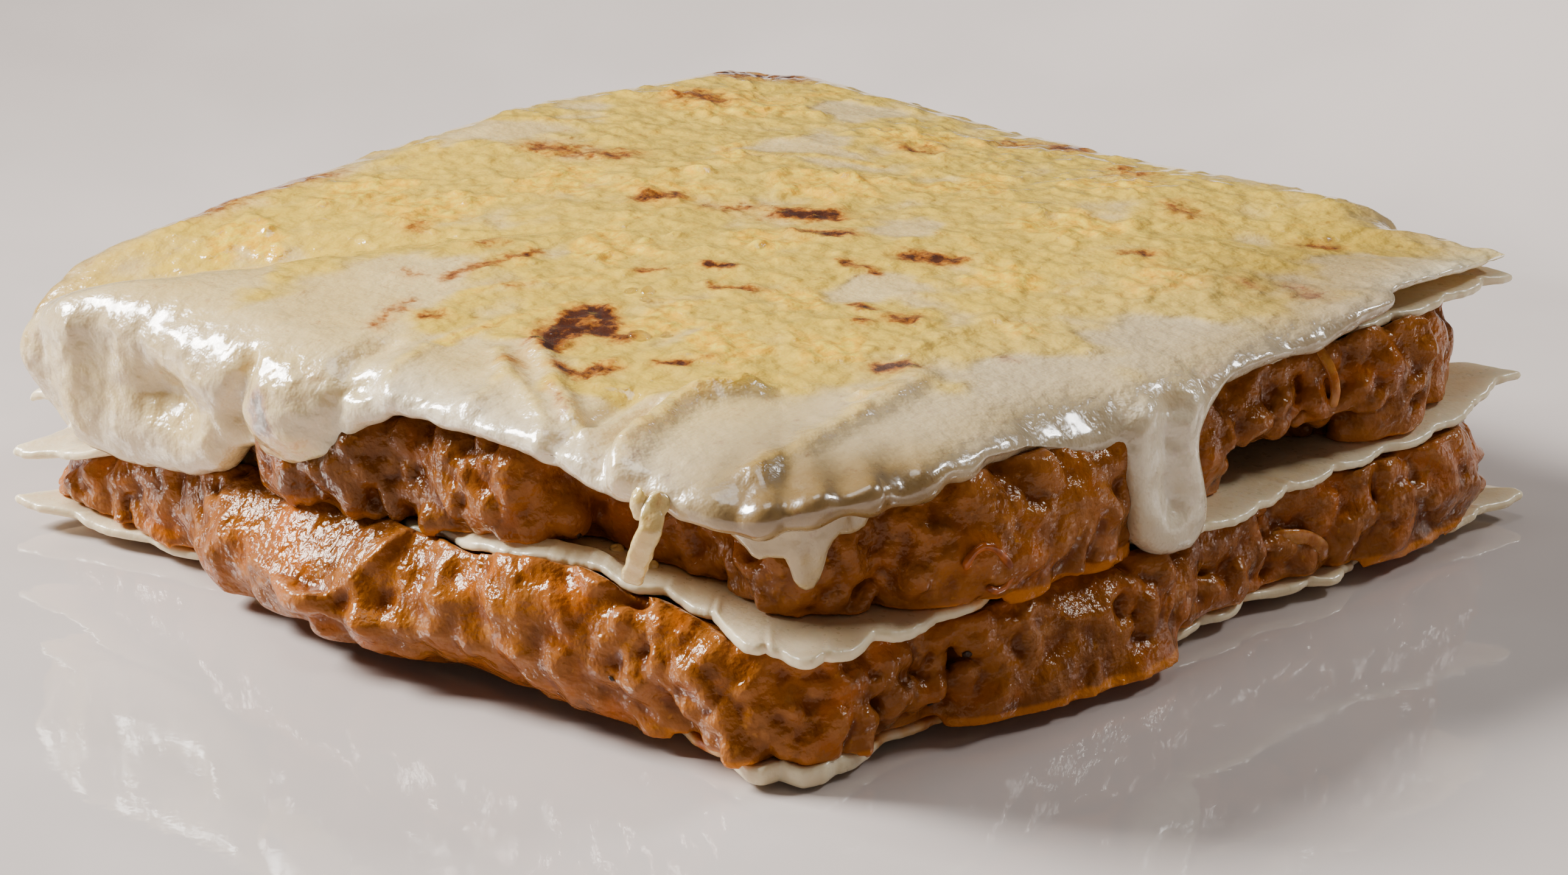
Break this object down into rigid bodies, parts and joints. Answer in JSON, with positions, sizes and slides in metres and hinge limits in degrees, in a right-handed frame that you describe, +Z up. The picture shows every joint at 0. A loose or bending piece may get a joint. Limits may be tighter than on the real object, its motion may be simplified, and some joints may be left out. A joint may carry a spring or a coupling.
{
  "type": "plate of meat lasagna",
  "caption": "Square portion of meat lasagna with pasta sheets, minced meat and a browned cream and cheese topping, on a round white plate.",
  "frame": {"origin": "centre of the plate's foot ring, on the table", "axes": "+Z up; the portion's sides lie along X and Y, and its best-seen corner points to +X and -Y"},
  "size_m": [0.29, 0.29, 0.0315],
  "materials": {
    "glaze": "gloss",
    "pasta": "satin",
    "meat": "satin",
    "topping": "satin",
    "cheese": "satin"
  },
  "bodies": {
    "root": {"plate": "glaze", "pasta_sheet_bottom": "pasta", "meat_layer_lower": "meat", "pasta_sheet_middle": "pasta", "meat_layer_upper": "meat", "pasta_sheet_top": "pasta", "cream_cheese_topping": "topping", "cheese_shred": "cheese"}
  },
  "joints": []
}
